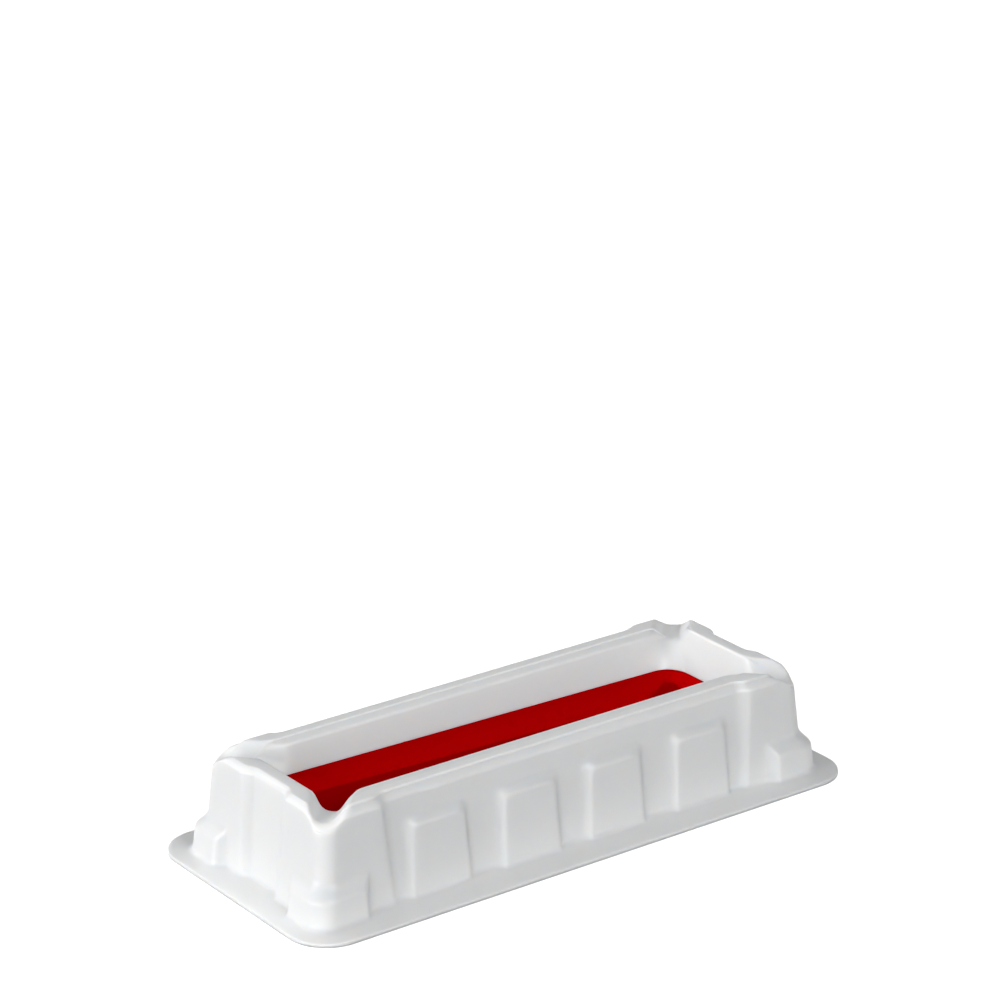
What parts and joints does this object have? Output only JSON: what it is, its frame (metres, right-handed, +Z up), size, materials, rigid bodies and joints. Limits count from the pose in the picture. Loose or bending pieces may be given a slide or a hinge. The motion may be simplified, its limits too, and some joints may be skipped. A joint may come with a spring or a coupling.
{
  "type": "reagent reservoir",
  "caption": "Long rectangular lab reservoir formed from one white plastic sheet, with a flared base flange, ribbed skirt, pour spouts at its corners and red reagent in its trough.",
  "frame": {"origin": "centre of the flange's underside", "axes": "+X along the trough, +Y across it, +Z up"},
  "size_m": [0.14, 0.0612, 0.0239],
  "materials": {
    "white_sheet": "satin",
    "red_liquid": "glossy"
  },
  "bodies": {
    "root": {"reservoir": "white_sheet", "reagent": "red_liquid"}
  },
  "joints": []
}
